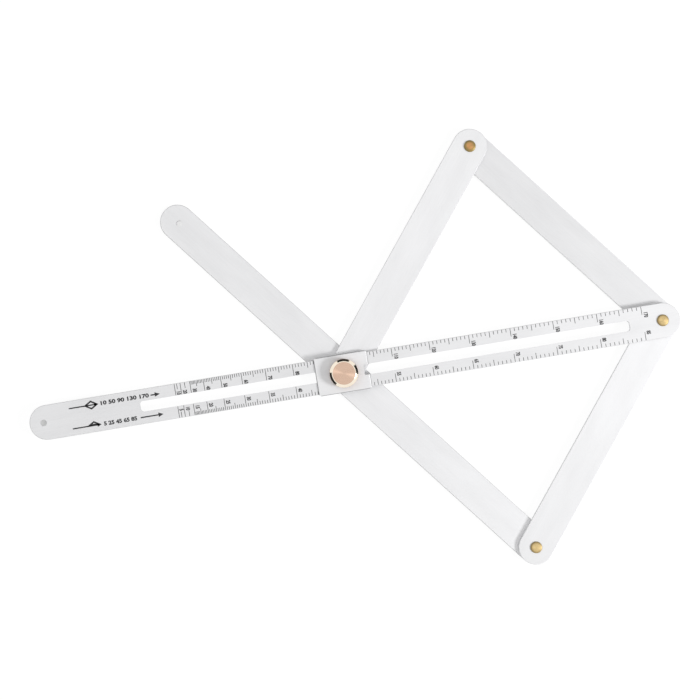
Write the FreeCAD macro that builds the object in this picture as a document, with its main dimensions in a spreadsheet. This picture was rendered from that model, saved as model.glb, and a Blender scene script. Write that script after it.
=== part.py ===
import FreeCAD, Part
import math
import os
import Sketcher

# Angle finder: four flat arms make a rhombus, hinged at one corner on a slotted scale ruler.
# The opposite corner slides along the ruler's slot on a clamp bolt with a plate and a turned knob.
# Frame: +X along the ruler towards the vertex rivet, +Z up, origin under the middle of the ruler.
# All lengths are in millimetres and all angles in degrees.

doc = FreeCAD.newDocument("AngleFinder")

# Driving dimensions: name, value and what it is.
sizes = [
    ("arm_pitch", 160, "pivot to pivot of every linkage arm"),
    ("tail_pitch", 137.5, "clamp pivot to hang hole of the long arm's free end"),
    ("tail_end_reach", 1.5, "hang hole to the centre of the long arm's round free end"),
    ("arm_width", 21.5, "width of the arms"),
    ("arm_thick", 2.0, "thickness of the arms"),
    ("ruler_width", 21.5, "width of the ruler"),
    ("ruler_thick", 2.0, "thickness of the ruler"),
    ("label_land", 60.2, "solid end of the ruler, from its slot to its hang hole"),
    ("far_end_setback", 2.0, "centre of the ruler's round far end to its hang hole"),
    ("hang_hole", 4.0, "diameter of the two hang holes"),
    ("edge_break", 0.3, "chamfer on the edges of the bars"),
    ("rest_half_angle", 51.6, "angle between an arm and the ruler as shown"),
    ("min_half_angle", 5.5, "the same angle with the arms closed"),
    ("max_half_angle", 85, "the same angle with the arms spread"),
    ("slot_width", 6.5, "width of the ruler's slot"),
    ("slot_corner", 1.8, "corner radius of the slot"),
    ("slot_end_gap", 3.3, "room between the bolt and the slot's end at each limit"),
    ("slot_fit", 0.05, "gap on each side of the bolt's flats in the slot"),
    ("pivot_fit", 0.05, "radial gap of every shank in its holes"),
    ("underside", 1.2, "height of the rivet ends and the bolt head under the arms"),
    ("washer_thick", 0.3, "thickness of the friction washers between the bars"),
    ("pivot_washer", 11.0, "outer diameter of the washers at the rivets"),
    ("clamp_washer", 15.0, "outer diameter of the washers at the clamp"),
    ("rivet_shank", 4.4, "diameter of the rivet shanks"),
    ("rivet_head", 7.2, "diameter of the rivet heads"),
    ("rivet_rim", 0.4, "height of the upright rim of a rivet head"),
    ("rivet_rise", 1.1, "height of a rivet head"),
    ("rivet_flat", 5.0, "diameter of the flat top of a rivet head"),
    ("rivet_end", 6.2, "diameter of a rivet's closed end"),
    ("burr_size", 8.4, "outer diameter of the burr washers"),
    ("burr_thick", 0.6, "thickness of the burr washers"),
    ("bolt_head", 13.0, "diameter of the clamp bolt's head"),
    ("bolt_shank", 8.0, "diameter of its round shank"),
    ("bolt_screw", 6.0, "diameter of its screw end"),
    ("bolt_chamfer", 0.4, "chamfer round the bolt's head"),
    ("shoulder_drop", 0.2, "bolt shoulder below the top of the ruler"),
    ("plate_thick", 1.0, "thickness of the slider plate's sheet"),
    ("plate_side_gap", 0.1, "gap between the plate's flanges and the ruler"),
    ("plate_read_end", 15.8, "clamp axis to the plate's reading edge"),
    ("plate_far_end", 17.4, "clamp axis to the plate's far edge"),
    ("plate_corner", 2.0, "corner radius of the plate seen from above"),
    ("flange_depth", 1.6, "height of the plate's flanges below its sheet"),
    ("bend_radius", 0.8, "outer radius of the flanges' bends"),
    ("notch_depth", 3.2, "depth of the notch in the reading edge"),
    ("notch_corner", 0.8, "corner radius of the notch"),
    ("cap_washer", 12.0, "outer diameter of the washer under the knob"),
    ("cap_washer_thick", 0.6, "its thickness"),
    ("knob_size", 17.6, "diameter of the knob"),
    ("knob_height", 5.6, "height of the knob"),
    ("knob_rim", 1.4, "chamfer round the knob's top face"),
    ("knob_top", 1.5, "metal above the knob's blind bore"),
    ("screw_gap", 0.5, "gap between the bolt's end and the bottom of the bore"),
    ("flute_count", 30, "number of grip flutes round the knob"),
    ("flute_depth", 0.4, "depth of a flute"),
    ("flute_width", 0.9, "width of a flute at the knob's outside"),
    ("flute_band", 0.4, "plain band between the flutes and the rim chamfer"),
]

sheet = doc.addObject("Spreadsheet::Sheet", "Sizes")
for row, (alias, number, note) in enumerate(sizes, start=1):
    sheet.set(f"A{row}", note)
    sheet.set(f"B{row}", str(number))
    sheet.setAlias(f"B{row}", alias)

# Places that follow from the driving dimensions.
places = [
    ("end_room", "Sizes.bolt_shank / 2 + Sizes.slot_end_gap"),
    ("slot_near", "2 * Sizes.arm_pitch * cos(Sizes.max_half_angle) - end_room"),
    ("slot_far", "2 * Sizes.arm_pitch * cos(Sizes.min_half_angle) + end_room"),
    ("ruler_pitch", "slot_far + Sizes.label_land"),
    ("ruler_span", "ruler_pitch - Sizes.far_end_setback"),
    ("vertex_x", "ruler_span / 2"),
    ("arm_run", "Sizes.arm_pitch * cos(Sizes.rest_half_angle)"),
    ("arm_rise", "Sizes.arm_pitch * sin(Sizes.rest_half_angle)"),
    ("rivet_x", "vertex_x - arm_run"),
    ("clamp_x", "vertex_x - 2 * arm_run"),
    ("level_one", "Sizes.underside"),
    ("level_two", "level_one + Sizes.arm_thick + Sizes.washer_thick"),
    ("level_three", "level_two + Sizes.arm_thick + Sizes.washer_thick"),
    ("plate_seat", "level_three + Sizes.ruler_thick"),
    ("washer_seat", "plate_seat + Sizes.plate_thick"),
    ("knob_seat", "washer_seat + Sizes.cap_washer_thick"),
    ("screw_end", "knob_seat + Sizes.knob_height - Sizes.knob_top - Sizes.screw_gap"),
    ("two_bars", "2 * Sizes.arm_thick + Sizes.washer_thick"),
    ("three_bars", "two_bars + Sizes.washer_thick + Sizes.ruler_thick"),
    ("flange_inner", "Sizes.ruler_width / 2 + Sizes.plate_side_gap"),
    ("flange_outer", "flange_inner + Sizes.plate_thick"),
    ("flat_half", "Sizes.slot_width / 2 - Sizes.slot_fit"),
]

layout = doc.addObject("Spreadsheet::Sheet", "Layout")
for row, (alias, formula) in enumerate(places, start=1):
    layout.set(f"A{row}", alias)
    layout.set(f"B{row}", "=" + formula)
    layout.setAlias(f"B{row}", alias)
doc.recompute()

sub_parts = []


def value(expression):
    """The number that an expression gives with the present sizes."""
    return float(sheet.evalExpression(expression))


def new_body(name, x, y, z, turn="0"):
    """A named body, placed and turned about +Z by expressions."""
    body = doc.addObject("PartDesign::Body", name)
    body.Label = name
    body.Placement = FreeCAD.Placement(FreeCAD.Vector(0, 0, 0), FreeCAD.Rotation(FreeCAD.Vector(0, 0, 1), 1))
    body.setExpression("Placement.Base.x", x)
    body.setExpression("Placement.Base.y", y)
    body.setExpression("Placement.Base.z", z)
    body.setExpression("Placement.Rotation.Angle", turn)
    sub_parts.append(body)
    return body


def new_sketch(body, name, role="XY_Plane"):
    """A sketch on one of the body's own origin planes."""
    sketch = body.newObject("Sketcher::SketchObject", name)
    plane = next(item for item in body.Origin.OriginFeatures if item.Role == role)
    sketch.AttachmentSupport = [(plane, "")]
    sketch.MapMode = "FlatFace"
    return sketch


def bind(sketch, constraint, name, expression):
    """Add a named size to a sketch and tie it to an expression."""
    index = sketch.addConstraint(constraint)
    sketch.renameConstraint(index, name)
    sketch.setExpression(f"Constraints.{name}", expression)


def locate(sketch, geometry, point, axis, expression, name):
    """Hold one coordinate of a point: on the other axis, or at a distance from the origin."""
    kind, line = ("DistanceX", -2) if axis == "x" else ("DistanceY", -1)
    if expression == "0":
        sketch.addConstraint(Sketcher.Constraint("PointOnObject", geometry, point, line))
        return
    number = value(expression)
    if number > 0:
        bind(sketch, Sketcher.Constraint(kind, -1, 1, geometry, point, number), name, expression)
    else:
        bind(sketch, Sketcher.Constraint(kind, geometry, point, -1, 1, -number), name, f"-({expression})")


def circle(sketch, name, x, diameter):
    """A circle on the sketch's horizontal axis."""
    centre = FreeCAD.Vector(value(x), 0, 0)
    radius = value(diameter) / 2
    round_edge = sketch.addGeometry(Part.Circle(centre, FreeCAD.Vector(0, 0, 1), radius), False)
    locate(sketch, round_edge, 3, "x", x, f"{name}_x")
    locate(sketch, round_edge, 3, "y", "0", f"{name}_y")
    bind(sketch, Sketcher.Constraint("Diameter", round_edge, 2 * radius), f"{name}_size", diameter)


def round_ended(sketch, start, end, width):
    """A bar outline along the horizontal axis, with a full half circle round each end point."""
    left, right, radius = value(start), value(end), value(width) / 2
    up = FreeCAD.Vector(0, 0, 1)
    left_ring = Part.Circle(FreeCAD.Vector(left, 0, 0), up, radius)
    right_ring = Part.Circle(FreeCAD.Vector(right, 0, 0), up, radius)
    arc_left = Part.ArcOfCircle(left_ring, math.pi / 2, 3 * math.pi / 2)
    arc_right = Part.ArcOfCircle(right_ring, -math.pi / 2, math.pi / 2)
    low = Part.LineSegment(FreeCAD.Vector(left, -radius, 0), FreeCAD.Vector(right, -radius, 0))
    high = Part.LineSegment(FreeCAD.Vector(right, radius, 0), FreeCAD.Vector(left, radius, 0))
    edges = [sketch.addGeometry(edge, False) for edge in (arc_left, low, arc_right, high)]
    for edge, following in zip(edges, edges[1:] + edges[:1]):
        sketch.addConstraint(Sketcher.Constraint("Tangent", edge, 2, following, 1))
    sketch.addConstraint(Sketcher.Constraint("Equal", edges[0], edges[2]))
    locate(sketch, edges[0], 3, "x", start, "start")
    locate(sketch, edges[2], 3, "x", end, "end")
    locate(sketch, edges[0], 3, "y", "0", "start_height")
    locate(sketch, edges[2], 3, "y", "0", "end_height")
    bind(sketch, Sketcher.Constraint("Radius", edges[0], radius), "end_radius", f"{width} / 2")


def rounded_box(sketch, left, right, half, corner):
    """A rectangle about the horizontal axis, with rounded corners."""
    low_x, high_x, top, radius = value(left), value(right), value(half), value(corner)
    up = FreeCAD.Vector(0, 0, 1)
    turns = [(high_x - radius, radius - top, -90), (high_x - radius, top - radius, 0),
             (low_x + radius, top - radius, 90), (low_x + radius, radius - top, 180)]
    arcs = []
    for x, y, angle in turns:
        ring = Part.Circle(FreeCAD.Vector(x, y, 0), up, radius)
        arc = Part.ArcOfCircle(ring, math.radians(angle), math.radians(angle + 90))
        arcs.append(sketch.addGeometry(arc, False))
    lines = []
    corners = [sketch.Geometry[arc] for arc in arcs]
    for corner_arc, next_arc in zip(corners, corners[1:] + corners[:1]):
        lines.append(sketch.addGeometry(Part.LineSegment(corner_arc.EndPoint, next_arc.StartPoint), False))
    for index, direction in enumerate(("Vertical", "Horizontal", "Vertical", "Horizontal")):
        sketch.addConstraint(Sketcher.Constraint("Tangent", arcs[index], 2, lines[index], 1))
        sketch.addConstraint(Sketcher.Constraint("Tangent", lines[index], 2, arcs[(index + 1) % 4], 1))
        sketch.addConstraint(Sketcher.Constraint(direction, lines[index]))
    for arc in arcs[1:]:
        sketch.addConstraint(Sketcher.Constraint("Equal", arcs[0], arc))
    locate(sketch, lines[0], 1, "x", right, "right")
    locate(sketch, lines[2], 1, "x", left, "left")
    locate(sketch, lines[1], 1, "y", half, "top")
    locate(sketch, lines[3], 1, "y", f"-({half})", "bottom")
    bind(sketch, Sketcher.Constraint("Radius", arcs[0], radius), "corner", corner)


def profile(sketch, points):
    """A closed outline of straight lines through points given as expressions."""
    spots = [FreeCAD.Vector(value(x), value(y), 0) for x, y in points]
    edges = []
    for spot, following in zip(spots, spots[1:] + spots[:1]):
        edges.append(sketch.addGeometry(Part.LineSegment(spot, following), False))
    for index, edge in enumerate(edges):
        following = edges[(index + 1) % len(edges)]
        sketch.addConstraint(Sketcher.Constraint("Coincident", edge, 2, following, 1))
    for index, (x, y) in enumerate(points):
        locate(sketch, edges[index], 1, "x", x, f"point_{index}_x")
        locate(sketch, edges[index], 1, "y", y, f"point_{index}_y")


def pad(body, sketch, name, length, downwards=False):
    """Raise a sketch to a length."""
    feature = body.newObject("PartDesign::Pad", name)
    feature.Profile = sketch
    feature.Reversed = downwards
    feature.setExpression("Length", length)
    sketch.Visibility = False
    doc.recompute()
    return feature


def pocket(body, sketch, name, length=None):
    """Cut a sketch upwards, to a length or through the whole body, and make sure that it cuts."""
    before = body.Shape.Volume
    feature = body.newObject("PartDesign::Pocket", name)
    feature.Profile = sketch
    feature.Reversed = True
    if length is None:
        feature.Type = "ThroughAll"
    else:
        feature.setExpression("Length", length)
    sketch.Visibility = False
    doc.recompute()
    if body.Shape.Volume >= before:
        raise RuntimeError(f"{name} of {body.Label} removes nothing")
    return feature


def revolve(body, sketch, name):
    """Turn a half profile round the upright axis."""
    feature = body.newObject("PartDesign::Revolution", name)
    feature.Profile = sketch
    feature.ReferenceAxis = (sketch, ["V_Axis"])
    feature.Angle = 360
    sketch.Visibility = False
    doc.recompute()
    return feature


def dress_edges(body, base, name, wanted, kind, measure, size):
    """Fillet or chamfer the edges of a feature that the test picks."""
    picked = [f"Edge{number}" for number, edge in enumerate(base.Shape.Edges, start=1) if wanted(edge)]
    feature = body.newObject(f"PartDesign::{kind}", name)
    feature.Base = (base, picked)
    feature.setExpression(measure, size)
    doc.recompute()
    return feature


def lies_flat(edge):
    """True for an edge that stays at one height."""
    return edge.BoundBox.ZLength < 1e-4


def make_bar(name, place, turn, ends, width, thick, holes):
    """A flat bar with round ends, broken long edges and punched holes."""
    body = new_body(name, *place, turn)
    outline = new_sketch(body, f"{name}_outline")
    round_ended(outline, *ends, width)
    blank = pad(body, outline, f"{name}_blank", thick)
    dress_edges(body, blank, f"{name}_edges", lies_flat, "Chamfer", "Size", "Sizes.edge_break")
    punch = new_sketch(body, f"{name}_punch")
    for number, (x, diameter) in enumerate(holes, start=1):
        circle(punch, f"hole_{number}", x, diameter)
    pocket(body, punch, f"{name}_holes")
    return body


def make_ring(name, place, inner, outer, thick):
    """A flat washer."""
    body = new_body(name, *place)
    outline = new_sketch(body, f"{name}_outline")
    circle(outline, "inside", "0", inner)
    circle(outline, "outside", "0", outer)
    pad(body, outline, f"{name}_blank", thick)
    return body


def make_rivet(name, x, y, grip):
    """A solid rivet: closed end on its burr washer, shank through the bars and a bevelled head on top."""
    body = new_body(name, x, y, "0")
    half = new_sketch(body, f"{name}_profile", "XZ_Plane")
    closed = "Sizes.underside - Sizes.burr_thick"
    seat = f"Sizes.underside + {grip}"
    profile(half, [
        ("0", "0"),
        ("Sizes.rivet_end / 2", "0"),
        ("Sizes.rivet_end / 2", closed),
        ("Sizes.rivet_shank / 2", closed),
        ("Sizes.rivet_shank / 2", seat),
        ("Sizes.rivet_head / 2", seat),
        ("Sizes.rivet_head / 2", f"{seat} + Sizes.rivet_rim"),
        ("Sizes.rivet_flat / 2", f"{seat} + Sizes.rivet_rise"),
        ("0", f"{seat} + Sizes.rivet_rise"),
    ])
    revolve(body, half, f"{name}_turned")
    return body


pivot_hole = "Sizes.rivet_shank + 2 * Sizes.pivot_fit"
clamp_hole = "Sizes.bolt_shank + 2 * Sizes.pivot_fit"
screw_hole = "Sizes.bolt_screw + 2 * Sizes.pivot_fit"


def make_ruler():
    """The slotted scale ruler, drawn from the vertex towards its far end."""
    place = ("Layout.vertex_x", "0", "Layout.level_three")
    ends = ("-Layout.ruler_span", "0")
    holes = [("0", pivot_hole), ("-Layout.ruler_pitch", "Sizes.hang_hole")]
    body = make_bar("scale_ruler", place, "0", ends, "Sizes.ruler_width", "Sizes.ruler_thick", holes)
    slot = new_sketch(body, "slot_outline")
    rounded_box(slot, "-Layout.slot_far", "-Layout.slot_near", "Sizes.slot_width / 2", "Sizes.slot_corner")
    pocket(body, slot, "slot")


def make_arms():
    """Four arms on two levels, each drawn from the pivot that it hangs on."""
    rise = "Layout.arm_rise"
    up_left = "180 - Sizes.rest_half_angle"
    down_left = "180 + Sizes.rest_half_angle"
    reach = "Sizes.arm_pitch"
    long_hang = "Sizes.arm_pitch + Sizes.tail_pitch"
    long_end = f"{long_hang} + Sizes.tail_end_reach"
    form = ("Sizes.arm_width", "Sizes.arm_thick")
    both_rivets = [("0", pivot_hole), (reach, pivot_hole)]
    rear_holes = [("0", pivot_hole), (reach, clamp_hole)]
    long_holes = rear_holes + [(long_hang, "Sizes.hang_hole")]
    vertex_low = ("Layout.vertex_x", "0", "Layout.level_one")
    vertex_high = ("Layout.vertex_x", "0", "Layout.level_two")
    upper_high = ("Layout.rivet_x", rise, "Layout.level_two")
    lower_low = ("Layout.rivet_x", f"-{rise}", "Layout.level_one")
    make_bar("upper_front_arm", vertex_low, up_left, ("0", reach), *form, both_rivets)
    make_bar("lower_front_arm", vertex_high, down_left, ("0", reach), *form, both_rivets)
    make_bar("upper_rear_arm", upper_high, down_left, ("0", reach), *form, rear_holes)
    make_bar("long_arm", lower_low, up_left, ("0", long_end), *form, long_holes)


def make_pivots():
    """Three rivets, with a burr washer under each and friction washers between the bars."""
    spots = [
        ("vertex", "Layout.vertex_x", "0", "Layout.three_bars"),
        ("upper", "Layout.rivet_x", "Layout.arm_rise", "Layout.two_bars"),
        ("lower", "Layout.rivet_x", "-Layout.arm_rise", "Layout.two_bars"),
    ]
    for name, x, y, grip in spots:
        make_rivet(f"{name}_rivet", x, y, grip)
        burr_place = (x, y, "Sizes.underside - Sizes.burr_thick")
        make_ring(f"{name}_burr", burr_place, pivot_hole, "Sizes.burr_size", "Sizes.burr_thick")
    first_gap = "Layout.level_one + Sizes.arm_thick"
    second_gap = "Layout.level_two + Sizes.arm_thick"
    washers = [
        ("vertex_washer_lower", "Layout.vertex_x", "0", first_gap),
        ("vertex_washer_upper", "Layout.vertex_x", "0", second_gap),
        ("upper_washer", "Layout.rivet_x", "Layout.arm_rise", first_gap),
        ("lower_washer", "Layout.rivet_x", "-Layout.arm_rise", first_gap),
    ]
    for name, x, y, z in washers:
        make_ring(name, (x, y, z), pivot_hole, "Sizes.pivot_washer", "Sizes.washer_thick")
    for name, z in (("slider_washer_lower", first_gap), ("slider_washer_upper", second_gap)):
        make_ring(name, ("Layout.clamp_x", "0", z), clamp_hole, "Sizes.clamp_washer", "Sizes.washer_thick")


def make_bolt():
    """The clamp bolt: low head, round shank in both arms, two flats in the slot and a screw end."""
    body = new_body("clamp_bolt", "Layout.clamp_x", "0", "0")
    half = new_sketch(body, "bolt_profile", "XZ_Plane")
    shoulder = "Layout.plate_seat - Sizes.shoulder_drop"
    profile(half, [
        ("0", "0"),
        ("Sizes.bolt_head / 2 - Sizes.bolt_chamfer", "0"),
        ("Sizes.bolt_head / 2", "Sizes.bolt_chamfer"),
        ("Sizes.bolt_head / 2", "Sizes.underside"),
        ("Sizes.bolt_shank / 2", "Sizes.underside"),
        ("Sizes.bolt_shank / 2", shoulder),
        ("Sizes.bolt_screw / 2", shoulder),
        ("Sizes.bolt_screw / 2", "Layout.screw_end"),
        ("0", "Layout.screw_end"),
    ])
    revolve(body, half, "bolt_turned")
    before = body.Shape.Volume
    for side, flat, outside in (("near", "-Layout.flat_half", "-Sizes.bolt_shank"),
                                ("away", "Layout.flat_half", "Sizes.bolt_shank")):
        face = new_sketch(body, f"{side}_flat_outline", "YZ_Plane")
        low = "Layout.level_two + Sizes.arm_thick"
        profile(face, [(flat, low), (outside, low), (outside, shoulder), (flat, shoulder)])
        mill = body.newObject("PartDesign::Pocket", f"{side}_flat")
        mill.Profile = face
        mill.SideType = "Symmetric"
        mill.setExpression("Length", "2 * Sizes.bolt_shank")
        face.Visibility = False
        doc.recompute()
        if body.Shape.Volume >= before:
            raise RuntimeError(f"{side}_flat removes nothing")
        before = body.Shape.Volume


def make_plate():
    """The slider plate: a sheet channel over the ruler, with rounded corners, a notch and a screw hole."""
    body = new_body("slider_plate", "Layout.clamp_x", "0", "Layout.plate_seat - Sizes.flange_depth")
    section = new_sketch(body, "plate_section", "YZ_Plane")
    inner, outer = "Layout.flange_inner", "Layout.flange_outer"
    web, top = "Sizes.flange_depth", "Sizes.flange_depth + Sizes.plate_thick"
    profile(section, [(f"-{outer}", "0"), (f"-{inner}", "0"), (f"-{inner}", web), (inner, web),
                      (inner, "0"), (outer, "0"), (outer, top), (f"-{outer}", top)])
    channel = body.newObject("PartDesign::Pad", "plate_channel")
    channel.Profile = section
    channel.SideType = "Two sides"
    channel.setExpression("Length", "Sizes.plate_read_end")
    channel.setExpression("Length2", "Sizes.plate_far_end")
    section.Visibility = False
    doc.recompute()

    def on_bend(edge):
        box = edge.BoundBox
        at_top = box.ZMin > value(top) - 1e-4
        at_side = min(abs(box.YMin), abs(box.YMax)) > value(outer) - 1e-4
        return at_top and at_side

    dress_edges(body, channel, "plate_bends", on_bend, "Fillet", "Radius", "Sizes.bend_radius")
    far, reading, side = "-Sizes.plate_far_end", "Sizes.plate_read_end", "2 * Layout.flange_outer"
    corners = new_sketch(body, "plate_corners")
    profile(corners, [(f"2 * ({far})", f"-{side}"), (f"2 * {reading}", f"-{side}"),
                      (f"2 * {reading}", side), (f"2 * ({far})", side)])
    rounded_box(corners, far, reading, outer, "Sizes.plate_corner")
    pocket(body, corners, "plate_trim")
    notch = new_sketch(body, "notch_outline")
    rounded_box(notch, f"{reading} - Sizes.notch_depth", f"{reading} + Sizes.notch_depth",
                "Sizes.slot_width / 2", "Sizes.notch_corner")
    circle(notch, "screw", "0", screw_hole)
    pocket(body, notch, "notch_and_hole")


def make_knob():
    """The knob: a turned cap with a chamfered rim, a blind bore and grip flutes down its side."""
    body = new_body("clamp_knob", "Layout.clamp_x", "0", "Layout.knob_seat")
    half = new_sketch(body, "knob_profile", "XZ_Plane")
    bore, depth = f"({screw_hole}) / 2", "Sizes.knob_height - Sizes.knob_top"
    profile(half, [
        (bore, "0"),
        ("Sizes.knob_size / 2", "0"),
        ("Sizes.knob_size / 2", "Sizes.knob_height - Sizes.knob_rim"),
        ("Sizes.knob_size / 2 - Sizes.knob_rim", "Sizes.knob_height"),
        ("0", "Sizes.knob_height"),
        ("0", depth),
        (bore, depth),
    ])
    revolve(body, half, "knob_turned")
    flute = new_sketch(body, "flute_outline")
    root, outside = "Sizes.knob_size / 2 - Sizes.flute_depth", "Sizes.knob_size / 2 + Sizes.flute_depth"
    profile(flute, [(root, "0"), (outside, "-Sizes.flute_width"), (outside, "Sizes.flute_width")])
    first = pocket(body, flute, "flute", "Sizes.knob_height - Sizes.knob_rim - Sizes.flute_band")
    ring = body.newObject("PartDesign::PolarPattern", "flutes")
    ring.Originals = [first]
    ring.Axis = (flute, ["N_Axis"])
    ring.Angle = 360
    ring.setExpression("Occurrences", "Sizes.flute_count")
    body.Tip = ring
    doc.recompute()


def make_cap_washer():
    """The washer between the slider plate and the knob."""
    place = ("Layout.clamp_x", "0", "Layout.washer_seat")
    make_ring("knob_washer", place, screw_hole, "Sizes.cap_washer", "Sizes.cap_washer_thick")


def check_and_write():
    """Stop on any failed object or broken solid, then write one file for each sub-part."""
    doc.recompute()
    failed = [item.Label for item in doc.Objects if {"Invalid", "Error"} & set(item.State)]
    if failed:
        raise RuntimeError(f"failed objects: {failed}")
    for body in sub_parts:
        shape = body.Shape
        if shape.isNull() or not shape.isValid() or len(shape.Solids) != 1:
            raise RuntimeError(f"{body.Label} is not one valid solid")
    os.makedirs("parts", exist_ok=True)
    for body in sub_parts:
        body.Shape.exportStep(f"parts/{body.Label}.step")
        print(f"{body.Label}: {body.Shape.Volume:.1f} mm3")


make_ruler()
make_arms()
make_pivots()
make_bolt()
make_plate()
make_cap_washer()
make_knob()
check_and_write()
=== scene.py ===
import bmesh
import bpy
import math
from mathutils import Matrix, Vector


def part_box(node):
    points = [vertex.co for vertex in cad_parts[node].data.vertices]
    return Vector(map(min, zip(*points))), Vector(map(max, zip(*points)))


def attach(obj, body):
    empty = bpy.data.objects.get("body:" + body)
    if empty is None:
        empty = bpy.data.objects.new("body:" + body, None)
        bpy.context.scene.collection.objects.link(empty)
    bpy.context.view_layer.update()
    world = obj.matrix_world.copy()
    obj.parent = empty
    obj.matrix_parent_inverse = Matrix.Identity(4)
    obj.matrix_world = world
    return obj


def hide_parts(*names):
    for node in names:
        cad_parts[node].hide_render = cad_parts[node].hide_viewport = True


# Angle finder with four arms, a slotted scale ruler and a clamp knob, seen from straight above.
# Blender works in metres, so sizes are written as a number times mm.

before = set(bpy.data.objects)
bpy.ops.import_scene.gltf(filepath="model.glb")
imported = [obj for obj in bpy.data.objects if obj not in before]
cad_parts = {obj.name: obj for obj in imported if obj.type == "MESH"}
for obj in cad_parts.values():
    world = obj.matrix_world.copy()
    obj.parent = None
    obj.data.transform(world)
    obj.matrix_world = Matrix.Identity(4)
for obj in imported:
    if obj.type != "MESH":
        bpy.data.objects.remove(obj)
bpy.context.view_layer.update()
mm = 0.001
print("frame loaded")


def nodeCentre(nodeName):
    low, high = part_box(nodeName)
    return (low + high) / 2


def deselectAll():
    if bpy.context.object and bpy.context.object.mode != "OBJECT":
        bpy.ops.object.mode_set(mode="OBJECT")
    bpy.ops.object.select_all(action="DESELECT")


def pickOnly(*pieces):  # the last one becomes the active object
    deselectAll()
    for piece in pieces:
        piece.select_set(True)
    bpy.context.view_layer.objects.active = pieces[-1]


def pickFaces(test):  # selects faces of the mesh that is open in edit mode
    bpy.context.tool_settings.mesh_select_mode = (False, False, True)
    mesh = bpy.context.object.data
    shape = bmesh.from_edit_mesh(mesh)
    for face in shape.faces:
        face.select_set(False)
    for face in shape.faces:
        if test(face):
            face.select_set(True)
    bmesh.update_edit_mesh(mesh)


def settle(piece):  # its place goes into its mesh, so the object itself sits at the origin
    pickOnly(piece)
    bpy.ops.object.transform_apply(location=True, rotation=True, scale=True)


def copyAlong(piece, x):  # a copy with its own mesh, moved along the ruler
    copy = piece.copy()
    copy.data = piece.data.copy()
    bpy.context.collection.objects.link(copy)
    copy.location.x += x
    return copy


def joinPieces(pieces, name):
    pickOnly(*pieces)
    bpy.ops.object.join()
    joined = bpy.context.object
    joined.name = name
    settle(joined)
    return joined


# Material parts; every pattern lies on Object coordinates and its sizes are lengths

def startMaterial(name, look):
    material = bpy.data.materials.new(name)
    material.use_nodes = True
    shader = material.node_tree.nodes["Principled BSDF"]
    shader.inputs["Base Color"].default_value = (*look["colour"], 1)
    shader.inputs["Metallic"].default_value = look["metallic"]
    shader.inputs["Roughness"].default_value = look["roughness"]
    shader.inputs["Anisotropic"].default_value = look.get("anisotropic", 0)
    return material, material.node_tree, shader


def addNode(tree, kind, settings, sources):
    node = tree.nodes.new(kind)
    for key, setting in settings.items():
        setattr(node, key, setting)
    for key, source in sources.items():
        if isinstance(source, bpy.types.NodeSocket):
            tree.links.new(source, node.inputs[key])
        else:
            node.inputs[key].default_value = source
    return node


def calculate(tree, operation, *values):
    sources = dict(enumerate(values))
    return addNode(tree, "ShaderNodeMath", {"operation": operation}, sources).outputs[0]


def objectPlace(tree, centre, turn, stretch):  # steps of the given sizes, along a direction from a centre
    place = addNode(tree, "ShaderNodeTexCoord", {}, {})
    sources = {
        "Vector": place.outputs["Object"],
        "Location": centre,
        "Rotation": (0, 0, turn),
        "Scale": stretch,
    }
    return addNode(tree, "ShaderNodeMapping", {"vector_type": "TEXTURE"}, sources).outputs["Vector"]


def noise(tree, place, detail):
    sources = {"Vector": place, "Scale": 1.0, "Detail": detail, "Roughness": 0.6}
    return addNode(tree, "ShaderNodeTexNoise", {}, sources).outputs["Fac"]


def spread(tree, source, low, high, start=0.3, end=0.7):
    sources = {"Value": source, "From Min": start, "From Max": end, "To Min": low, "To Max": high}
    return addNode(tree, "ShaderNodeMapRange", {}, sources).outputs["Result"]


def blendColours(tree, share, first, second):
    mix = addNode(tree, "ShaderNodeMix", {"data_type": "RGBA"}, {0: share, 6: first, 7: second})
    return mix.outputs[2]


def shade(colour, share):
    return (colour[0] * share, colour[1] * share, colour[2] * share, 1)


def addBump(tree, shader, heights, look):
    normal = None
    for height in heights:
        sources = {"Height": height, "Strength": look["bump"], "Distance": look["bumpDepth"]}
        if normal:
            sources["Normal"] = normal
        normal = addNode(tree, "ShaderNodeBump", {}, sources).outputs["Normal"]
    tree.links.new(normal, shader.inputs["Normal"])


def brushAlong(tree, shader, direction):  # the direction is in the piece's own frame
    sources = {"Vector": direction}
    settings = {"vector_type": "VECTOR", "convert_from": "OBJECT", "convert_to": "WORLD"}
    turned = addNode(tree, "ShaderNodeVectorTransform", settings, sources)
    tree.links.new(turned.outputs["Vector"], shader.inputs["Tangent"])


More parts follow.
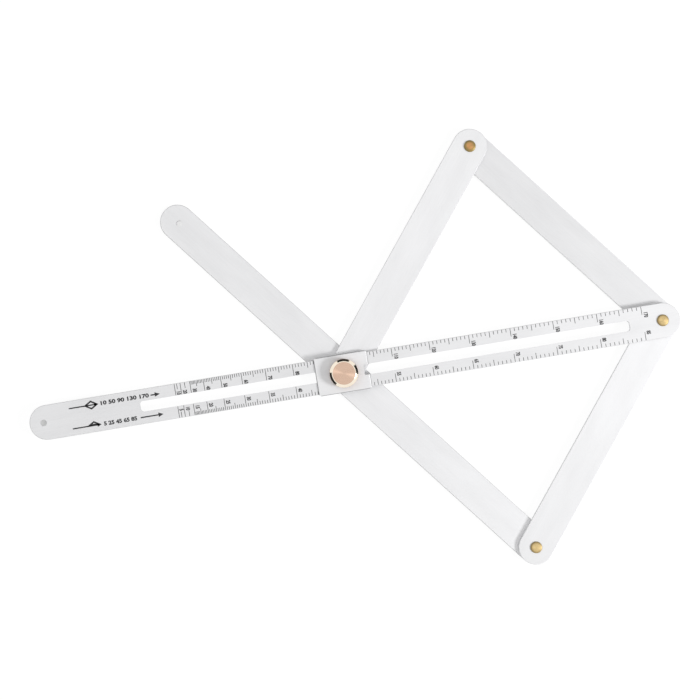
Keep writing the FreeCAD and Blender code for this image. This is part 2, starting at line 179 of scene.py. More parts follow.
def brushedSheet(name, look, centre, turn):
    material, tree, shader = startMaterial(name, look)
    colour = look["colour"]
    grain = noise(tree, objectPlace(tree, centre, turn, look["grain"]), 4.0)
    cloud = noise(tree, objectPlace(tree, centre, turn, look["cloud"]), 2.0)
    scratchPlace = objectPlace(tree, centre, turn + look["scratchTurn"], look["scratch"])
    scratch = spread(tree, noise(tree, scratchPlace, 1.0), 0.0, 1.0, *look["scratchLimits"])
    darkCloud, paleCloud = (shade(colour, share) for share in look["cloudShades"])
    tone = blendColours(tree, spread(tree, cloud, 0.0, 1.0), darkCloud, paleCloud)
    grainShare = spread(tree, grain, 0.0, look["grainContrast"])
    tone = blendColours(tree, grainShare, tone, shade(colour, look["grainShade"]))
    scratchShare = spread(tree, scratch, 0.0, look["scratchContrast"])
    tone = blendColours(tree, scratchShare, tone, shade(colour, look["scratchShade"]))
    place = addNode(tree, "ShaderNodeTexCoord", {}, {})
    facing = addNode(tree, "ShaderNodeSeparateXYZ", {}, {"Vector": place.outputs["Normal"]})
    lean = calculate(tree, "ABSOLUTE", facing.outputs["Z"])
    face = spread(tree, lean, 0.0, 1.0, *look["faceLimits"])  # 0 on the sawn sides and their chamfers
    # the sides and their chamfers take painted shade below 1 and painted light above 1
    tone = blendColours(tree, face, shade(colour, look["paintedSideShading"]), tone)
    tree.links.new(tone, shader.inputs["Base Color"])
    metal = spread(tree, face, look["sideMetallic"], look["metallic"], 0, 1)
    tree.links.new(metal, shader.inputs["Metallic"])
    rough = spread(tree, grain, look["roughness"] - look["smoother"], look["roughness"] + look["rougher"])
    rough = addNode(tree, "ShaderNodeMix", {}, {0: face, 2: look["sideRoughness"], 3: rough}).outputs[0]
    tree.links.new(rough, shader.inputs["Roughness"])
    across = addNode(tree, "ShaderNodeCombineXYZ", {}, {"X": -math.sin(turn), "Y": math.cos(turn)})
    brushAlong(tree, shader, across.outputs["Vector"])
    addBump(tree, shader, (grain, scratch), look)
    return material


turnedLook = {  # what all turned metals share
    "ringShade": 0.7,
    "patinaLimits": (0.45, 0.7),
    "smoother": 0.03,
    "rougher": 0.05,
}


def turnedMetal(name, look, centre):  # fine rings round an upright axis, with patches of patina
    material, tree, shader = startMaterial(name, look)
    colour = look["colour"]
    parts = addNode(tree, "ShaderNodeSeparateXYZ", {}, {"Vector": objectPlace(tree, centre, 0, (1, 1, 1))})
    flat = addNode(tree, "ShaderNodeCombineXYZ", {}, {"X": parts.outputs["X"], "Y": parts.outputs["Y"]})
    reach = addNode(tree, "ShaderNodeVectorMath", {"operation": "LENGTH"}, {0: flat.outputs["Vector"]})
    count = calculate(tree, "DIVIDE", reach.outputs["Value"], look["ringPitch"])
    sources = {"W": count, "Scale": 1.0, "Detail": 2.0}
    rings = addNode(tree, "ShaderNodeTexNoise", {"noise_dimensions": "1D"}, sources).outputs["Fac"]
    patina = noise(tree, objectPlace(tree, centre, 0, look["patinaSize"]), 4.0)
    ringShare = spread(tree, rings, 0.0, look["ringContrast"])
    tone = blendColours(tree, ringShare, shade(colour, 1), shade(colour, turnedLook["ringShade"]))
    patinaShare = spread(tree, patina, 0.0, look["patinaShare"], *turnedLook["patinaLimits"])
    tone = blendColours(tree, patinaShare, tone, (*look["patina"], 1))
    # where the look asks for it, a dark ring in the patina colour round the head's rim: painted shade
    if "paintedShadeRing" in look:
        inner, outer = look["paintedShadeRing"]
        ring = spread(tree, reach.outputs["Value"], 0.0, look["paintedShadeShare"], inner, outer)
        tone = blendColours(tree, ring, tone, (*look["patina"], 1))
    tree.links.new(tone, shader.inputs["Base Color"])
    smoothest = look["roughness"] - turnedLook["smoother"]
    rough = spread(tree, rings, smoothest, look["roughness"] + turnedLook["rougher"])
    tree.links.new(rough, shader.inputs["Roughness"])
    brushAlong(tree, shader, flat.outputs["Vector"])
    addBump(tree, shader, (rings,), look)
    return material


def mottledPlain(name, look):
    material, tree, shader = startMaterial(name, look)
    mottle = noise(tree, objectPlace(tree, (0, 0, 0), 0, look["mottle"]), 3.0)
    share = spread(tree, mottle, 0.0, 1.0)
    tone = blendColours(tree, share, shade(look["colour"], look["darkest"]), shade(look["colour"], 1))
    tree.links.new(tone, shader.inputs["Base Color"])
    addBump(tree, shader, (mottle,), look)
    return material


# The bars and the slider plate keep their CAD shapes; each is brushed along its own length

vertex = nodeCentre("vertex_rivet")
upperPivot = nodeCentre("upper_rivet")
lowerPivot = nodeCentre("lower_rivet")
clamp = nodeCentre("clamp_bolt")

sheetLook = {
    "colour": (0.8, 0.8, 0.81),
    "metallic": 0.38,
    "roughness": 0.42,
    "anisotropic": 0.3,
    "grain": (30 * mm, 0.8 * mm, 0.8 * mm),
    "grainContrast": 0.2,
    "grainShade": 0.85,
    "cloud": (45 * mm, 12 * mm, 12 * mm),
    "cloudShades": (0.97, 1.03),
    "scratch": (9 * mm, 0.35 * mm, 0.35 * mm),
    "scratchTurn": math.radians(14),
    "scratchLimits": (0.68, 0.72),
    "scratchContrast": 0.15,
    "scratchShade": 0.7,
    "smoother": 0.04,
    "rougher": 0.06,
    "faceLimits": (0.75, 0.95),
    "paintedSideShading": 0.9,
    "sideMetallic": 0.2,
    "sideRoughness": 0.75,
    "bump": 0.35,
    "bumpDepth": 0.01 * mm,
}
# each level paints its bar lighter or darker by how the light falls on it: painted light above 1, painted
# shade below 1
sheetPieces = {  # brushed from the first place towards the second, at a level of the common colour
    "scale_ruler": (vertex, clamp, 0.98),
    "upper_front_arm": (vertex, upperPivot, 0.96),
    "lower_front_arm": (vertex, lowerPivot, 0.93),
    "upper_rear_arm": (upperPivot, clamp, 1.0),
    "long_arm": (lowerPivot, clamp, 1.02),
    "slider_plate": (clamp, vertex, 1.02),
}
paintedSideShadingByPiece = {  # painted shade on the sides of these pieces where it differs from the common one; above 1 it is painted light
    "long_arm": 0.75,
    "upper_front_arm": 1.1,
    "lower_front_arm": 1.15,
    "slider_plate": 0.4,
}
for nodeName, (start, end, paintedLightLevel) in sheetPieces.items():
    look = dict(sheetLook)
    look["paintedSideShading"] = paintedSideShadingByPiece.get(nodeName, sheetLook["paintedSideShading"])
    look["colour"] = tuple(paintedLightLevel * part for part in sheetLook["colour"])
    along = end - start
    sheet = brushedSheet(f"{nodeName}Aluminium", look, start, math.atan2(along.y, along.x))
    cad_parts[nodeName].material_slots[0].material = sheet
print("bars and plate finished")

# Washers, burrs and the clamp bolt keep their CAD shapes too

nylonLook = {
    "colour": (0.8, 0.79, 0.75),
    "metallic": 0.0,
    "roughness": 0.5,
    "mottle": (1.5 * mm, 1.5 * mm, 1.5 * mm),
    "darkest": 0.88,
    "bump": 0.3,
    "bumpDepth": 0.01 * mm,
}
brassLook = {
    "colour": (0.6, 0.46, 0.23),
    "metallic": 1.0,
    "roughness": 0.52,
    "anisotropic": 0.3,
    "ringPitch": 0.3 * mm,
    "ringContrast": 0.3,
    "patina": (0.3, 0.22, 0.1),
    "patinaSize": (1.3 * mm, 1.3 * mm, 1.3 * mm),
    "patinaShare": 0.5,
    # a dark ring of painted shade round the head's rim
    "paintedShadeRing": (2.0 * mm, 3.3 * mm),
    "paintedShadeShare": 0.85,
    "bump": 0.2,
    "bumpDepth": 0.01 * mm,
}
steelLook = dict(brassLook)
steelLook.update({
    "colour": (0.62, 0.62, 0.63),
    "patina": (0.4, 0.4, 0.4),
    "patinaShare": 0.3,
    "paintedShadeShare": 0.0,
})
nylon = mottledPlain("washerNylon", nylonLook)
for nodeName in ("vertex_washer_lower", "vertex_washer_upper", "upper_washer", "lower_washer",
                 "slider_washer_lower", "slider_washer_upper", "knob_washer"):
    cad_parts[nodeName].material_slots[0].material = nylon
for nodeName in ("vertex_burr", "upper_burr", "lower_burr"):
    brass = turnedMetal(f"{nodeName}Brass", brassLook, nodeCentre(nodeName))
    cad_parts[nodeName].material_slots[0].material = brass
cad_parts["clamp_bolt"].material_slots[0].material = turnedMetal("boltSteel", steelLook, clamp)
print("small parts finished")


# Turned pieces start as a disc that is raised ring by ring

turningLook = {
    "mergeDistance": 0.001 * mm,
    "sharpAngle": math.radians(25),
    "edgeSegments": 2,
}


def startTurning(name, centre, radius, height, segments):
    deselectAll()
    place = (centre.x, centre.y, height)
    bpy.ops.mesh.primitive_circle_add(vertices=segments, radius=radius, fill_type="NGON", location=place)
    piece = bpy.context.object
    piece.name = name
    settle(piece)
    bpy.ops.object.mode_set(mode="EDIT")
    bpy.ops.mesh.select_all(action="SELECT")
    return piece


def raiseRing(centre, start, end):  # start and end are pairs of radius and height
    bpy.ops.mesh.extrude_region_move(TRANSFORM_OT_translate={"value": (0, 0, end[1] - start[1])})
    share = end[0] / start[0]
    bpy.ops.transform.resize(value=(share, share, 1), center_override=(centre.x, centre.y, end[1]))


def finishTurning(piece, edgeWidth):
    bpy.ops.mesh.select_all(action="SELECT")
    bpy.ops.mesh.remove_doubles(threshold=turningLook["mergeDistance"])
    bpy.ops.mesh.normals_make_consistent(inside=False)
    bpy.ops.object.mode_set(mode="OBJECT")
    edges = piece.modifiers.new("edges", "BEVEL")
    edges.width = edgeWidth
    edges.segments = turningLook["edgeSegments"]
    edges.limit_method = "ANGLE"
    edges.angle_limit = turningLook["sharpAngle"]
    bpy.ops.object.modifier_apply(modifier=edges.name)
    bpy.ops.object.shade_smooth_by_angle(angle=turningLook["sharpAngle"])


# Rivets: closed end with a dimple, shank, and a head with an upright rim, a rolled shoulder and a low crown

rivetLook = {
    "segments": 64,
    "dimpleRadius": 1.1 * mm,
    "dimpleMouth": 1.76 * mm,
    "dimpleDepth": 0.25 * mm,
    "endRadius": 3.1 * mm,
    "endHeight": 0.6 * mm,
    "shankRadius": 2.2 * mm,
    "headRadius": 3.6 * mm,
    "headRise": 1.1 * mm,
    "rim": 0.35 * mm,
    "shoulderSteps": 6,
    "flatRadius": 2.4 * mm,
    "flatCrown": 0.1 * mm,
    "crownRings": ((0.55, 0.3), (0.15, 0.0)),  # shares of the flat's radius, and of the crown below the top
    "edge": 0.05 * mm,
}


def makeRivet(nodeName, body, metal):
    low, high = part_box(nodeName)
    centre = nodeCentre(nodeName)
    seat = high.z - rivetLook["headRise"]
    rimTop = seat + rivetLook["rim"]
    shoulderRise = high.z - rivetLook["flatCrown"] - rimTop
    shoulderRun = rivetLook["headRadius"] - rivetLook["flatRadius"]
    stages = [
        (rivetLook["dimpleRadius"], low.z + rivetLook["dimpleDepth"]),
        (rivetLook["dimpleMouth"], low.z),
        (rivetLook["endRadius"], low.z),
        (rivetLook["endRadius"], low.z + rivetLook["endHeight"]),
        (rivetLook["shankRadius"], low.z + rivetLook["endHeight"]),
        (rivetLook["shankRadius"], seat),
        (rivetLook["headRadius"], seat),
        (rivetLook["headRadius"], rimTop),
    ]
    for step in range(1, rivetLook["shoulderSteps"] + 1):
        lean = math.pi / 2 * step / rivetLook["shoulderSteps"]
        inward = shoulderRun * (1 - math.cos(lean))
        stages.append((rivetLook["headRadius"] - inward, rimTop + shoulderRise * math.sin(lean)))
    for radiusShare, dropShare in rivetLook["crownRings"]:
        stages.append((rivetLook["flatRadius"] * radiusShare, high.z - rivetLook["flatCrown"] * dropShare))
    name = nodeName.replace("_rivet", "RivetTurned")
    piece = startTurning(name, centre, *stages[0], rivetLook["segments"])
    for start, end in zip(stages, stages[1:]):
        raiseRing(centre, start, end)
    finishTurning(piece, rivetLook["edge"])
    piece.data.materials.append(metal)
    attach(piece, body)
    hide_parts(nodeName)


orangeBrassLook = dict(brassLook)
orangeBrassLook.update({
    "colour": (0.58, 0.31, 0.13),
    "patina": (0.26, 0.21, 0.08),
    "paintedShadeRing": (1.5 * mm, 2.8 * mm),
})
makeRivet("vertex_rivet", "ruler", turnedMetal("vertexRivetBrass", brassLook, vertex))
makeRivet("upper_rivet", "upper_front", turnedMetal("upperRivetBrass", orangeBrassLook, upperPivot))
makeRivet("lower_rivet", "lower_front", turnedMetal("lowerRivetBrass", brassLook, lowerPivot))
print("rivets finished")

# The clamp knob: blind bore, flutes, plain band, polished rim and a turned face; the rim's paler copper is
# a painted highlight and the flutes' and band's darker copper is painted shade

knobLook = {
    "flutes": 30,
    "cornersPerFlute": 4,
    "fluteDepth": 0.4 * mm,
    "fluteTop": 3.8 * mm,
    "rimRise": 1.05 * mm,
    "rimRun": 1.5 * mm,
    "rimBulge": 0.02 * mm,
    "rimSteps": 4,
    "faceBorder": 0.35 * mm,
    "boreRadius": 3.05 * mm,
    "boreDepth": 4.1 * mm,
    "edge": 0.06 * mm,
    "near": 0.01 * mm,
}
copperLook = {
    "colour": (0.72, 0.51, 0.39),
    "metallic": 1.0,
    "roughness": 0.23,
    "anisotropic": 0.9,
    "ringPitch": 0.25 * mm,
    "ringContrast": 0.25,
    "patina": (0.64, 0.42, 0.31),
    "patinaSize": (6 * mm, 6 * mm, 6 * mm),
    "patinaShare": 0.3,
    "bump": 0.3,
    "bumpDepth": 0.01 * mm,
}
# the rim's paler copper colour is a painted highlight
paintedSheenCopperLook = dict(copperLook)
paintedSheenCopperLook.update({
    "colour": (0.95, 0.86, 0.72),
    "patina": (0.85, 0.68, 0.52),
    "roughness": 0.09,
    "anisotropic": 0.0,
    "ringContrast": 0.1,
    "bump": 0.05,
})
# the flutes' and band's darker copper colour is painted shade
paintedShadeCopperLook = dict(copperLook)
paintedShadeCopperLook.update({"colour": (0.5, 0.34, 0.25), "roughness": 0.5, "anisotropic": 0.3})


def pickDisc(corners, height):  # the many-cornered face at a height
    near = knobLook["near"]
    pickFaces(lambda face: len(face.verts) == corners and abs(face.calc_center_median().z - height) < near)


def moveFluteRoots(centre, corners, height, share):  # one corner for each flute, in the ring in hand
    bpy.context.tool_settings.mesh_select_mode = (True, False, False)
    mesh = bpy.context.object.data
    shape = bmesh.from_edit_mesh(mesh)
    roots = []
    for point in shape.verts:
        number = round(math.atan2(point.co.y - centre.y, point.co.x - centre.x) / math.tau * corners)
        if point.select and number % knobLook["cornersPerFlute"] == 0:
            roots.append(point)
    for point in shape.verts:
        point.select_set(False)
    for point in roots:
        point.select_set(True)
    bmesh.update_edit_mesh(mesh)
    bpy.ops.transform.resize(value=(share, share, 1), center_override=(centre.x, centre.y, height))


def makeKnob(faceMetal, rimSheenMetal, sideShadeMetal):
    low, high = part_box("clamp_knob")
    centre = nodeCentre("clamp_knob")
    corners = knobLook["cornersPerFlute"] * knobLook["flutes"]
    radius = (high.x - low.x) / 2
    rootShare = 1 - knobLook["fluteDepth"] / radius
    ceiling = (knobLook["boreRadius"], low.z + knobLook["boreDepth"])
    mouth = (knobLook["boreRadius"], low.z)
    foot = (radius, low.z)
    fluteEnd = (radius, low.z + knobLook["fluteTop"])
    bandTop = (radius, high.z - knobLook["rimRise"])
    piece = startTurning("knobTurned", centre, *ceiling, corners)
    raiseRing(centre, ceiling, mouth)
    raiseRing(centre, mouth, foot)
    moveFluteRoots(centre, corners, low.z, rootShare)
    pickDisc(corners, low.z)
    raiseRing(centre, foot, fluteEnd)
    raiseRing(centre, fluteEnd, fluteEnd)  # a second ring there, for the roots' way back out
    moveFluteRoots(centre, corners, fluteEnd[1], 1 / rootShare)
    pickDisc(corners, fluteEnd[1])
    raiseRing(centre, fluteEnd, bandTop)
    last = bandTop
    for step in range(1, knobLook["rimSteps"] + 1):
        share = step / knobLook["rimSteps"]
        bulge = knobLook["rimBulge"] * 4 * share * (1 - share)
        height = bandTop[1] + knobLook["rimRise"] * share + bulge
        ring = (radius - knobLook["rimRun"] * share + bulge, height)
        raiseRing(centre, last, ring)
        last = ring
    border = (last[0] - knobLook["faceBorder"], high.z)
    raiseRing(centre, last, border)
    finishTurning(piece, knobLook["edge"])
    for metal in (sideShadeMetal, rimSheenMetal, faceMetal):
        piece.data.materials.append(metal)
    bpy.ops.object.mode_set(mode="EDIT")
    rimFoot = bandTop[1] + knobLook["edge"]
    pickFaces(lambda face: face.calc_center_median().z > rimFoot)
    piece.active_material_index = 1
    bpy.ops.object.material_slot_assign()
    faceFoot = high.z - knobLook["near"]
    pickFaces(lambda face: face.calc_center_median().z > faceFoot and len(face.verts) == corners)
    piece.active_material_index = 2
    bpy.ops.object.material_slot_assign()
    bpy.ops.object.mode_set(mode="OBJECT")
    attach(piece, "knob")
    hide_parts("clamp_knob")


makeKnob(turnedMetal("knobFaceCopper", copperLook, clamp),
         turnedMetal("knobRimPaintedSheenCopper", paintedSheenCopperLook, clamp),
         turnedMetal("knobSidePaintedShadeCopper", paintedShadeCopperLook, clamp))
print("knob finished")

# Scale print: a tick at each opening angle, numbers for the full angle above and for its half below.
# At full angle a, the plate's reading end is 2 * arm pitch * cos(a / 2) - plate reach from the vertex.

inkLook = {
    "colour": (0.02, 0.02, 0.022),
    "metallic": 0.0,
    "roughness": 0.45,
    "mottle": (0.5 * mm, 0.5 * mm, 0.5 * mm),
    "darkest": 0.5,
    "bump": 0.1,
    "bumpDepth": 0.005 * mm,
}
scaleLook = {
    "sunk": 0.01 * mm,  # depth of the print below the ruler's face
    "proud": 0.006 * mm,
    "tickWidth": 0.34 * mm,
    "edgeMargin": 0.3 * mm,
    "shortTick": 2.0 * mm,
    "middleTick": 3.5 * mm,
    "longTick": 5.1 * mm,
    "slotMargin": 0.2 * mm,
    "slotHalf": 3.25 * mm,
    "longestUntil": 90,
    "coarseUntil": 30,
    "firstAngle": 10,
    "lastAngle": 170,
    "numberStep": 10,
    "middleStep": 5,
    "fontHeight": 0.73,  # of a digit at size 1
    "digitHeight": 2.4 * mm,
    "digitSqueeze": 0.7,
    "strokeGrowth": 0.16 * mm,
    "numberShift": 2.2 * mm,
    "upperNumberStart": 3.5 * mm,
    "lowerNumberMiddle": -5.85 * mm,
}
ink = mottledPlain("blackInk", inkLook)
rulerLow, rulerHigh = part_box("scale_ruler")
rulerTop = rulerHigh.z
halfWidth = (rulerHigh.y - rulerLow.y) / 2
armPitch = (upperPivot - vertex).length
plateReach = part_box("slider_plate")[1].x - clamp.x


def makeBar(name, lowX, highX, lowY, highY):  # a printed bar on the ruler's face
    deselectAll()
    place = ((lowX + highX) / 2, (lowY + highY) / 2, rulerTop - scaleLook["sunk"])
    bpy.ops.mesh.primitive_plane_add(size=1, location=place)
    bar = bpy.context.object
    bar.name = name
    bar.scale = (highX - lowX, highY - lowY, 1)
    settle(bar)
    raisePrint(bar)
    return bar


def raisePrint(piece):
    pickOnly(piece)
    bpy.ops.object.mode_set(mode="EDIT")
    bpy.ops.mesh.select_all(action="SELECT")
    thickness = scaleLook["sunk"] + scaleLook["proud"]
    bpy.ops.mesh.extrude_region_move(TRANSFORM_OT_translate={"value": (0, 0, thickness)})
    bpy.ops.mesh.select_all(action="SELECT")
    bpy.ops.mesh.normals_make_consistent(inside=False)
    bpy.ops.object.mode_set(mode="OBJECT")


def makeWord(text, height, squeeze):  # upright on the ruler's face, with its low left corner at the origin
    deselectAll()
    bpy.ops.object.text_add()
    word = bpy.context.object
    word.data.body = text
    word.data.extrude = (scaleLook["sunk"] + scaleLook["proud"]) / 2
    word.data.offset = scaleLook["strokeGrowth"]
    word.data.size = height / scaleLook["fontHeight"]
    word.data.resolution_u = 3
    bpy.ops.object.convert(target="MESH")
    word = bpy.context.object
    word.scale.x = squeeze
    settle(word)
    return word


def moveLowCorner(piece, x, y):  # x and y of the piece's lowest corner
    points = [point.co for point in piece.data.vertices]
    lowest = min(point.z for point in points)
    piece.location = (x - min(point.x for point in points), y - min(point.y for point in points),
                      rulerTop - scaleLook["sunk"] - lowest)
    settle(piece)


def printOn(pieces, name):
    piece = joinPieces(pieces, name)
    piece.data.materials.clear()
    piece.data.materials.append(ink)
    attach(piece, "ruler")
    return piece


def readingPlace(angle):  # x on the ruler under the plate's reading end at a full opening angle
    return vertex.x - (2 * armPitch * math.cos(math.radians(angle) / 2) - plateReach)


def tickLength(angle):
    numbered = angle % scaleLook["numberStep"] == 0
    if numbered and angle <= scaleLook["longestUntil"]:
        return halfWidth - scaleLook["edgeMargin"] - scaleLook["slotHalf"] - scaleLook["slotMargin"]
    if numbered:
        return scaleLook["longTick"]
    if angle % scaleLook["middleStep"] == 0:
        return scaleLook["middleTick"]
    return scaleLook["shortTick"]


def makeTicks(side, name):  # side is 1 for the upper edge and -1 for the lower
    angles = [angle for angle in range(scaleLook["firstAngle"], scaleLook["lastAngle"] + 1)
              if angle >= scaleLook["coarseUntil"] or angle % scaleLook["middleStep"] == 0]
    halfTick = scaleLook["tickWidth"] / 2
    patterns = {}
    for length in sorted({tickLength(angle) for angle in angles}):
        outer = side * (halfWidth - scaleLook["edgeMargin"])
        ends = sorted((outer, outer - side * length))
        patterns[length] = makeBar("tick", -halfTick, halfTick, *ends)
    ticks = [copyAlong(patterns[tickLength(angle)], readingPlace(angle)) for angle in angles]
    for pattern in patterns.values():
        bpy.data.objects.remove(pattern)
    printOn(ticks, name)


def makeNumbers(share, name):  # share of the full angle that the number gives
    numbers = []
    step = scaleLook["numberStep"]
    for angle in range(scaleLook["firstAngle"], scaleLook["lastAngle"] + 1, step):
        gap = readingPlace(angle + step) - readingPlace(angle)
        shift = min(scaleLook["numberShift"], gap / 2)
        number = makeWord(str(round(angle * share)), scaleLook["digitHeight"], scaleLook["digitSqueeze"])
        number.rotation_euler.z = -math.pi / 2
        settle(number)
        start = scaleLook["upperNumberStart"]
        if share < 1:
            start = scaleLook["lowerNumberMiddle"] - number.dimensions.y / 2
        moveLowCorner(number, readingPlace(angle) + shift - scaleLook["digitHeight"] / 2, start)
        numbers.append(number)
    printOn(numbers, name)


makeTicks(1, "upperScaleTicks")
makeTicks(-1, "lowerScaleTicks")
makeNumbers(1, "upperScaleNumbers")
makeNumbers(0.5, "lowerScaleNumbers")
print("scale printed")

# Legend at the ruler's left end: leader, outlined sign, numbers of the scale and an arrow on each line

legendLook = {  # places along the ruler are distances from the vertex
    "line": 0.8 * mm,
    "outline": 1.0 * mm,
    "signRight": 350.9 * mm,
    "signLeft": 360.1 * mm,
    "upperLine": 6.07 * mm,
    "upperLeader": 369.4 * mm,
    "rhombusHeight": 5.7 * mm,
    "lowerLine": -6.6 * mm,
    "lowerLeader": 368.9 * mm,
    "triangleHeight": 2.75 * mm,
    "textHeight": 2.4 * mm,
    "upperText": "10 50 90 130 170",
    "lowerText": "5 25 45 65 85",
    "textLeft": 349.5 * mm,
    "upperTextWidth": 30.1 * mm,
    "lowerTextWidth": 20.7 * mm,
    "arrowLength": 3.2 * mm,
    "arrowHeight": 2.8 * mm,
    "tipLength": 2.6 * mm,
    "tipHeight": 2.4 * mm,
    "upperArrow": (318.4 * mm, 312.6 * mm),
    "lowerArrow": (326.6 * mm, 312.3 * mm),
}


def outlinedSign(corners, width, height, lowY, name):
    deselectAll()
    bpy.ops.mesh.primitive_circle_add(vertices=corners, radius=1, fill_type="NGON")
    sign = bpy.context.object
    sign.name = name
    points = [point.co for point in sign.data.vertices]
    wide = max(point.x for point in points) - min(point.x for point in points)
    tall = max(point.y for point in points) - min(point.y for point in points)
    sign.scale = (width / wide, height / tall, 1)
    settle(sign)
    moveLowCorner(sign, vertex.x - legendLook["signLeft"], lowY)
    bpy.ops.object.mode_set(mode="EDIT")
    bpy.ops.mesh.select_all(action="SELECT")
    bpy.ops.mesh.inset(thickness=legendLook["outline"], depth=0)
    bpy.ops.mesh.delete(type="FACE")
    bpy.ops.object.mode_set(mode="OBJECT")
    raisePrint(sign)
    return sign


def makePoint(tip, y, length, height):  # a filled triangle that points towards the vertex
    deselectAll()
    bpy.ops.mesh.primitive_circle_add(vertices=3, radius=1, fill_type="NGON")
    point = bpy.context.object
    point.rotation_euler.z = -math.pi / 2
    settle(point)  # now 1.5 long and the root of 3 high
    point.scale = (length / 1.5, height / math.sqrt(3), 1)
    settle(point)
    moveLowCorner(point, vertex.x - tip - length, y - height / 2)
    raisePrint(point)
    return point


def makeArrow(tail, tip, y):
    halfLine = legendLook["line"] / 2
    headStart = vertex.x - tip - legendLook["arrowLength"]
    shaft = makeBar("shaft", vertex.x - tail, headStart, y - halfLine, y + halfLine)
    return [shaft, makePoint(tip, y, legendLook["arrowLength"], legendLook["arrowHeight"])]


def makeLegendText(text, width, y):
    word = makeWord(text, legendLook["textHeight"], 1)
    places = [point.co.x for point in word.data.vertices]
    word.scale.x = width / (max(places) - min(places))
    settle(word)
    moveLowCorner(word, vertex.x - legendLook["textLeft"], y - legendLook["textHeight"] / 2)
    return word


def makeLegend(name, line, leader, sign, text, textWidth, arrow):
    halfLine = legendLook["line"] / 2
    leaderEnd = vertex.x - legendLook["signRight"] - legendLook["tipLength"] / 2
    leaderBar = makeBar("leader", vertex.x - leader, leaderEnd, line - halfLine, line + halfLine)
    tip = makePoint(legendLook["signRight"], line, legendLook["tipLength"], legendLook["tipHeight"])
    pieces = [leaderBar, sign, tip, makeLegendText(text, textWidth, line), *makeArrow(*arrow, line)]
    printOn(pieces, name)


signWidth = legendLook["signLeft"] - legendLook["signRight"]
rhombus = outlinedSign(4, signWidth, legendLook["rhombusHeight"],
                       legendLook["upperLine"] - legendLook["rhombusHeight"] / 2, "rhombus")
triangle = outlinedSign(3, signWidth, legendLook["triangleHeight"], legendLook["lowerLine"], "triangle")
makeLegend("upperLegend", legendLook["upperLine"], legendLook["upperLeader"], rhombus,
           legendLook["upperText"], legendLook["upperTextWidth"], legendLook["upperArrow"])
makeLegend("lowerLegend", legendLook["lowerLine"], legendLook["lowerLeader"], triangle,
           legendLook["lowerText"], legendLook["lowerTextWidth"], legendLook["lowerArrow"])
print("legend printed")

# Studio: pale floor, even white surroundings, a key lamp, a wide fill lamp and dark boards to reflect

studioLook = {
    "floorSize": 6.0,
    "floorDrop": 0.05 * mm,
    "floorGlow": 0.93,
    "floorSeen": 0.11,
    "floorBounce": 0.75,
    "ambient": 0.4,
    "shadeReach": 3.5 * mm,
    "farEnd": -150 * mm,
    "farEndBlend": 10 * mm,
    "farEndReach": 25 * mm,
    "shadeLimits": (0.2, 0.55),
    "deepShade": 0.3,
    "keyPlace": (1.2335, -0.5085, 1.0),
    "lampDistance": 1.8,
    "keySize": 0.48,
    "keyPower": 24.0,
    "fillPlace": (-0.9, 0.45, 1.0),
    "fillSize": 1.4,
    "fillPower": 8.0,
    "flagDistance": 0.6,
    "flagHeight": 0.4,
    "flagPaint": {"colour": (0.01, 0.01, 0.01), "metallic": 0, "roughness": 1},
    "flagArcs": ((-12.4, 27.6), (58.6, 111.6), (168.6, 225.6)),  # degrees round the clamp
}


def seenRays(tree):  # 1 for camera, glossy and transmission rays
    path = addNode(tree, "ShaderNodeLightPath", {}, {})
    seen = calculate(tree, "MAXIMUM", path.outputs["Is Camera Ray"], path.outputs["Is Glossy Ray"])
    return calculate(tree, "MAXIMUM", seen, path.outputs["Is Transmission Ray"])


def makeFloor():  # its glow is darkened by painted shade close under the parts, and further out at the far end's hang hole
    deselectAll()
    place = (0, 0, -studioLook["floorDrop"])
    bpy.ops.mesh.primitive_plane_add(size=studioLook["floorSize"], location=place)
    floor = bpy.context.object
    floor.name = "floor"
    material = bpy.data.materials.new("paleFloor")
    material.use_nodes = True
    tree = material.node_tree
    tree.nodes.remove(tree.nodes["Principled BSDF"])
    seen = seenRays(tree)
    bounce = spread(tree, seen, studioLook["floorBounce"], studioLook["floorSeen"], 0, 1)
    colour = addNode(tree, "ShaderNodeCombineColor", {}, {"Red": bounce, "Green": bounce, "Blue": bounce})
    diffuse = addNode(tree, "ShaderNodeBsdfDiffuse", {}, {"Color": colour.outputs["Color"]})
    place = addNode(tree, "ShaderNodeTexCoord", {}, {})
    along = addNode(tree, "ShaderNodeSeparateXYZ", {}, {"Vector": place.outputs["Object"]}).outputs["X"]
    farEnd = studioLook["farEnd"]
    reach = spread(tree, along, studioLook["farEndReach"], studioLook["shadeReach"],
                   farEnd - studioLook["farEndBlend"], farEnd)
    nearby = addNode(tree, "ShaderNodeAmbientOcclusion", {"samples": 16}, {"Distance": reach})
    # ambient occlusion darkens the glow: painted shade
    openness = spread(tree, nearby.outputs["AO"], studioLook["deepShade"], 1, *studioLook["shadeLimits"])
    glowSeen = calculate(tree, "MULTIPLY", openness, studioLook["floorGlow"])
    strength = calculate(tree, "MULTIPLY", seen, glowSeen)
    glow = addNode(tree, "ShaderNodeEmission", {}, {"Strength": strength})
    both = addNode(tree, "ShaderNodeAddShader", {}, {0: diffuse.outputs[0], 1: glow.outputs[0]})
    tree.links.new(both.outputs[0], tree.nodes["Material Output"].inputs["Surface"])
    floor.data.materials.append(material)


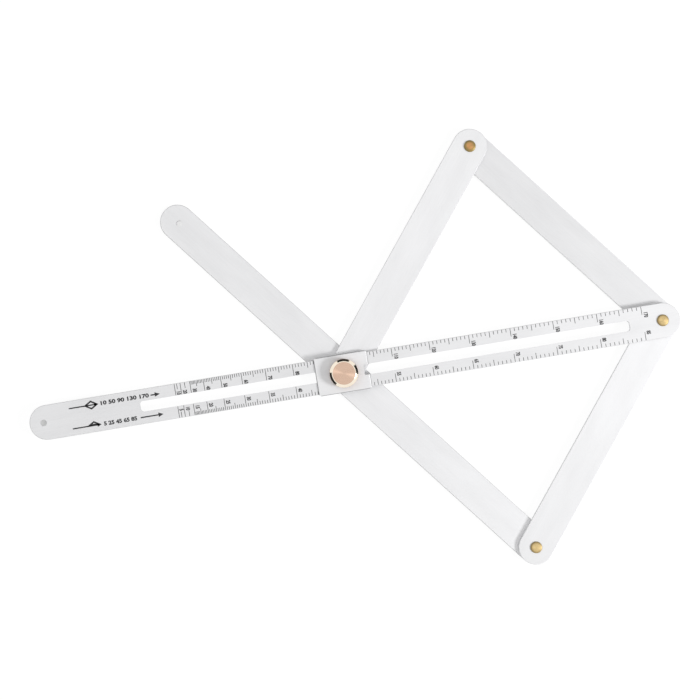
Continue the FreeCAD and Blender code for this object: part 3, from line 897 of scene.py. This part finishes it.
def makeWorld():
    world = bpy.data.worlds.new("evenWhite")
    world.use_nodes = True
    tree = world.node_tree
    strength = spread(tree, seenRays(tree), studioLook["ambient"], 1, 0, 1)
    background = tree.nodes["Background"]
    background.inputs["Color"].default_value = (1, 1, 1, 1)
    tree.links.new(strength, background.inputs["Strength"])
    bpy.context.scene.world = world


def makeLamp(name):  # an unseen disc lamp that faces the object
    deselectAll()
    direction = Vector(studioLook[f"{name}Place"]).normalized()
    bpy.ops.object.light_add(type="AREA", location=direction * studioLook["lampDistance"])
    lamp = bpy.context.object
    lamp.name = name
    lamp.rotation_euler = direction.to_track_quat("Z", "Y").to_euler()
    lamp.data.shape = "DISK"
    lamp.data.size = studioLook[f"{name}Size"]
    lamp.data.energy = studioLook[f"{name}Power"]
    lamp.visible_camera = False
    return lamp


def makeFlags():  # dark boards that only reflections show
    material = startMaterial("flagBlack", studioLook["flagPaint"])[0]
    for first, last in studioLook["flagArcs"]:
        facing = math.radians((first + last) / 2)
        halfArc = math.radians((last - first) / 2)
        distance = studioLook["flagDistance"]
        height = studioLook["flagHeight"]
        place = (clamp.x + distance * math.cos(facing), distance * math.sin(facing), height / 2)
        upright = (math.pi / 2, 0, facing + math.pi / 2)
        deselectAll()
        bpy.ops.mesh.primitive_plane_add(size=1, location=place, rotation=upright)
        flag = bpy.context.object
        flag.name = "flag"
        flag.scale = (2 * distance * math.tan(halfArc), height, 1)
        flag.data.materials.append(material)
        flag.visible_camera = False
        flag.visible_diffuse = False
        flag.visible_transmission = False
        flag.visible_shadow = False


makeFloor()
makeWorld()
makeLamp("key")
makeLamp("fill").visible_glossy = False
makeFlags()
print("studio ready")

cameraLook = {
    "place": (-0.791 * mm, 13.447 * mm, 900 * mm),
    "turn": math.radians(-9.41),
    "lens": 74.6,
    "sensor": 36.0,
}
deselectAll()
bpy.ops.object.camera_add(location=cameraLook["place"], rotation=(0, 0, cameraLook["turn"]))
camera = bpy.context.object
camera.data.lens = cameraLook["lens"]
camera.data.sensor_width = cameraLook["sensor"]
bpy.context.scene.camera = camera
bpy.context.scene.view_settings.view_transform = "Standard"
